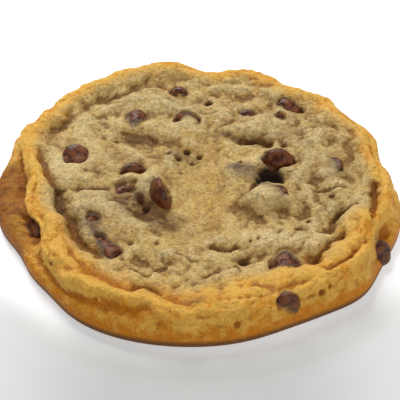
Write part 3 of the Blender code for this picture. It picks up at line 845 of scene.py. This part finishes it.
def dough_colour(n, patches, mottle, grain):
    """Pale in the middle, gold on the rim, browned low on the side; browning and painted shade in
    creases, hollows and folds, a painted highlight on high places and painted shade along the foot's
    edge.
    """
    colour = n.mix(n.between(patches, 0.42, 0.62, 0.0, 0.9), MIDDLE, MIDDLE_BROWN)
    colour = n.mix(n.between(mottle, 0.50, 0.66, 0.0, 0.6), colour, PALE)
    colour = n.mix(n.math("MULTIPLY", n.attribute("grey"), n.between(mottle, 0.3, 0.6)), colour, GREY)
    colour = n.mix(n.math("MULTIPLY", n.attribute("gold"), n.between(patches, 0.35, 0.6)), colour, GOLD)
    colour = n.mix(n.attribute("pale"), colour, PALE)
    uneven = n.math("MULTIPLY", n.math("SUBTRACT", patches, 0.5), 1.6)
    colour = n.mix(n.between(n.math("ADD", n.attribute("crust"), uneven), 0.15, 0.85), colour, RIM_GOLD)
    spots = n.between(n.noise(4.0, detail=4.0, roughness=0.65), 0.50, 0.62, 0.0, 0.85)
    oranges = n.math("MULTIPLY", n.between(n.attribute("crust"), 0.3, 1.0), spots)
    colour = n.mix(oranges, colour, RIM_ORANGE)
    # Painted shade in creases and hollows, darker in the middle and orange on the crust.
    crease_shade = n.mix(n.attribute("crust"), CREASE_SHADE_BROWN, CREASE_SHADE_ORANGE)
    colour = n.mix(n.between(n.attribute("hollow_shade_top_highlight"), 0.03, 0.60, 0.0, 0.9), colour, crease_shade)
    # Painted highlight on high places: paler in the middle, golder on the crust.
    top = n.between(n.attribute("hollow_shade_top_highlight"), -0.50, -0.06, 0.60, 0.0)
    colour = n.mix(top, colour, n.mix(n.attribute("crust"), PALE, RIM_GOLD))
    baked = n.math("MULTIPLY_ADD", n.math("SUBTRACT", mottle, 0.52), 2.2, n.attribute("low_side"))
    colour = n.mix(n.between(baked, 0.05, 0.9), colour, RIM_BROWN)
    lip_uneven = n.math("MULTIPLY", n.attribute("lip"), n.between(mottle, 0.35, 0.62, 1.0, 0.62))
    colour = n.mix(lip_uneven, colour, LIP_BROWN)
    # Browning and painted shade over hollows, folds and pits: darkest in the middle, less dark on the
    # crust.
    brown_and_shade = n.math("MULTIPLY", n.attribute("brown_and_shade"), n.between(mottle, 0.3, 0.62, 0.5, 1.0))
    colour = n.mix(brown_and_shade, colour, n.mix(n.attribute("crust"), HOLLOW_SHADE_BROWN, RIM_BROWN))
    # Painted shade along the foot's rolled-under edge, over its browning.
    colour = n.mix(n.math("MULTIPLY", n.attribute("foot"), 0.85), colour, FOOT_SHADE_BROWN)
    colour = n.mix(n.attribute("under"), colour, UNDER_BROWN)
    freckles = n.between(n.cells(1.6), 0.05, 0.24, 1.0, 0.0)
    freckles = n.math("MULTIPLY", freckles, n.between(n.noise(3.0), 0.44, 0.58))
    speck = n.mix(n.attribute("crust"), SPECK_BROWN, SPECK_ORANGE)
    colour = n.mix(n.math("MULTIPLY", freckles, 0.8), colour, speck)
    shade = n.between(grain, 0.30, 0.70, -1.0, 1.0)
    amount = n.between(n.attribute("crust"), 0.0, 1.0, 0.36, 0.15)
    return n.shade(colour, n.math("MULTIPLY_ADD", shade, amount, 1.0))


def dough_material():
    """Baked dough, tinted where a chip lies close under it."""
    n = Nodes("baked_dough")
    patches = n.noise(7.0, detail=4.0, roughness=0.6)
    mottle = n.noise(2.2, detail=5.0, roughness=0.62)
    grain = n.noise(0.8, detail=4.0, roughness=0.8)
    colour = dough_colour(n, patches, mottle, grain)

    speckle = n.math("MULTIPLY", n.math("SUBTRACT", grain, 0.5), 1.4)
    seen = n.attribute("seen")
    veil = n.between(n.math("ADD", seen, speckle), 0.15, 0.95)
    colour = n.mix(n.math("MULTIPLY", veil, n.between(seen, 0.02, 0.2)), colour, FILM_TINT)
    stain = n.attribute("stain")
    veil = n.between(n.math("ADD", stain, n.math("SUBTRACT", mottle, 0.5)), 0.1, 1.1)
    colour = n.mix(n.math("MULTIPLY", veil, n.between(stain, 0.02, 0.3)), colour, FILM_TINT)
    # Painted shade: holes darkened to near black.
    colour = n.mix(n.attribute("hole_shade"), colour, HOLE_SHADE_DARK)

    fine = n.bump(n.noise(0.6, detail=2.0), 0.30, 0.8)
    crumb = n.bump(n.noise(1.6, detail=4.0, roughness=0.65), 1.0, 0.8, fine)
    pore_zone = n.between(n.noise(2.5), 0.42, 0.58)
    pores = n.math("MULTIPLY", n.between(n.cells(1.3), 0.05, 0.22, -1.0, 0.0), pore_zone)
    pores = n.bump(pores, 0.30, 0.6, crumb)
    rough = n.between(grain, 0.2, 0.8, 0.55, 0.85)
    n.set(Base_Color=colour, Roughness=rough, Normal=pores)
    n.set(Subsurface_Weight=0.06, Subsurface_Scale=0.001, Specular_IOR_Level=0.28)
    n.shader.inputs["Subsurface Radius"].default_value = (1.0, 0.55, 0.25)
    return n.material


def chocolate_material():
    """Melted and set chocolate: dark, softly glossy, dulled in patches."""
    n = Nodes("chocolate")
    soft = n.noise(1.8, detail=3.0)
    fine = n.noise(0.5, detail=3.0, roughness=0.65)
    colour = n.mix(n.between(soft, 0.40, 0.60), CHOCOLATE, CHOCOLATE_WARM)
    colour = n.mix(n.between(fine, 0.55, 0.75, 0.0, 0.7), colour, BLOOM)
    rough = n.between(soft, 0.38, 0.62, 0.24, 0.50)
    dents = n.bump(soft, 0.8, 0.7)
    n.set(Base_Color=colour, Roughness=rough, Normal=n.bump(fine, 0.2, 0.6, dents))
    n.set(Specular_IOR_Level=0.30)
    return n.material


# ---- stage --------------------------------------------------------------------------------------
CAMERA_ELEVATION = 41.0
CAMERA_DISTANCE = 0.300
CAMERA_TARGET = (0.0005, -0.0054, 0.005)
CAMERA_LENS = 108.0
FLOOR_SIZE = 4.0
FLOOR_WHITE = (0.90, 0.90, 0.90)
# Grey of the painted shadow in front of the cookie.
FLOOR_SHADOW_GREY = (0.345, 0.35, 0.342)
SHADOW_BESIDE = (0.015, 0.05)     # distance to either side over which the painted shadow weakens
SHADOW_LEAST = 0.78               # what is left of it there
SHADOW_FRONT = (-0.045, -0.005)   # place along Y where it is full, and where it has ended
SHADOW_AWAY = (0.043, 0.060)      # distance from the middle over which it comes in
LAMPS = (                       # (name, place, size, power); both aim at the scene's middle
    ("key", (-0.16, 0.48, 0.62), 0.50, 6.4),
    ("front_fill", (0.35, -0.8, 0.6), 0.8, 4.4),
)
WORLD_STRENGTH = 0.30


def make_floor():
    """A wide pale floor with a painted shadow in front of the cookie, and a faint painted glow."""
    bpy.ops.mesh.primitive_plane_add(size=FLOOR_SIZE, location=(0.0, 0.0, 0.0))
    floor = bpy.context.object
    floor.name = "floor"
    n = Nodes("floor_paper_and_shadow")
    split = n.add("ShaderNodeSeparateXYZ")
    n.feed(split.inputs[0], n.place)
    x, y = split.outputs["X"], split.outputs["Y"]
    # Painted shadow: grey in front of the cookie, weaker to the sides and coming in away from its
    # middle.
    away = n.math("SQRT", n.math("ADD", n.math("MULTIPLY", x, x), n.math("MULTIPLY", y, y)))
    beside = n.between(n.math("ABSOLUTE", x), *SHADOW_BESIDE, 1.0, SHADOW_LEAST)
    front = n.math("MULTIPLY", n.between(y, *SHADOW_FRONT, 1.0, 0.0), beside)
    grey = n.math("MULTIPLY", n.between(away, *SHADOW_AWAY), front)
    paper_and_shadow = n.mix(grey, FLOOR_WHITE, FLOOR_SHADOW_GREY)
    # The floor also glows with its own colour: painted light that lifts its shade and shadows.
    n.set(Base_Color=paper_and_shadow, Roughness=0.9, Emission_Color=paper_and_shadow, Emission_Strength=0.50)
    floor.data.materials.append(n.material)


def add_lamp(name, place, size, power):
    """A round area lamp that aims at the scene's middle."""
    data = bpy.data.lights.new(name, "AREA")
    data.shape = "DISK"
    data.size = size
    data.energy = power
    lamp = add_object(name, data)
    lamp.location = place
    lamp.rotation_mode = "QUATERNION"
    lamp.rotation_quaternion = (-Vector(place)).to_track_quat("-Z", "Y")


def make_lights():
    """A key lamp behind the cookie, a fill in front of it, and an even white sky."""
    for lamp in LAMPS:
        add_lamp(*lamp)
    world = bpy.data.worlds.new("studio")
    world.use_nodes = True
    background = world.node_tree.nodes["Background"]
    background.inputs["Color"].default_value = (1.0, 1.0, 1.0, 1.0)
    background.inputs["Strength"].default_value = WORLD_STRENGTH
    bpy.context.scene.world = world


def make_camera():
    """A long lens that looks down on the front of the cookie."""
    data = bpy.data.cameras.new("camera")
    data.lens = CAMERA_LENS
    data.clip_start = 0.01
    camera = add_object("camera", data)
    tilt = math.radians(CAMERA_ELEVATION)
    back = Vector((0.0, -math.cos(tilt), math.sin(tilt)))
    camera.location = Vector(CAMERA_TARGET) + back * CAMERA_DISTANCE
    camera.rotation_mode = "QUATERNION"
    camera.rotation_quaternion = (-back).to_track_quat("-Z", "Y")
    bpy.context.scene.camera = camera
    bpy.context.scene.view_settings.view_transform = "Standard"


def main():
    chocolate = chocolate_material()
    chips = [refine_chip(node) for node in sorted(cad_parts) if node.startswith("chip_")]
    for chip in chips:
        chip.data.materials.append(chocolate)
    dough = make_dough(chip_tree(chips))
    dough.data.materials.append(dough_material())
    make_floor()
    make_lights()
    make_camera()


main()
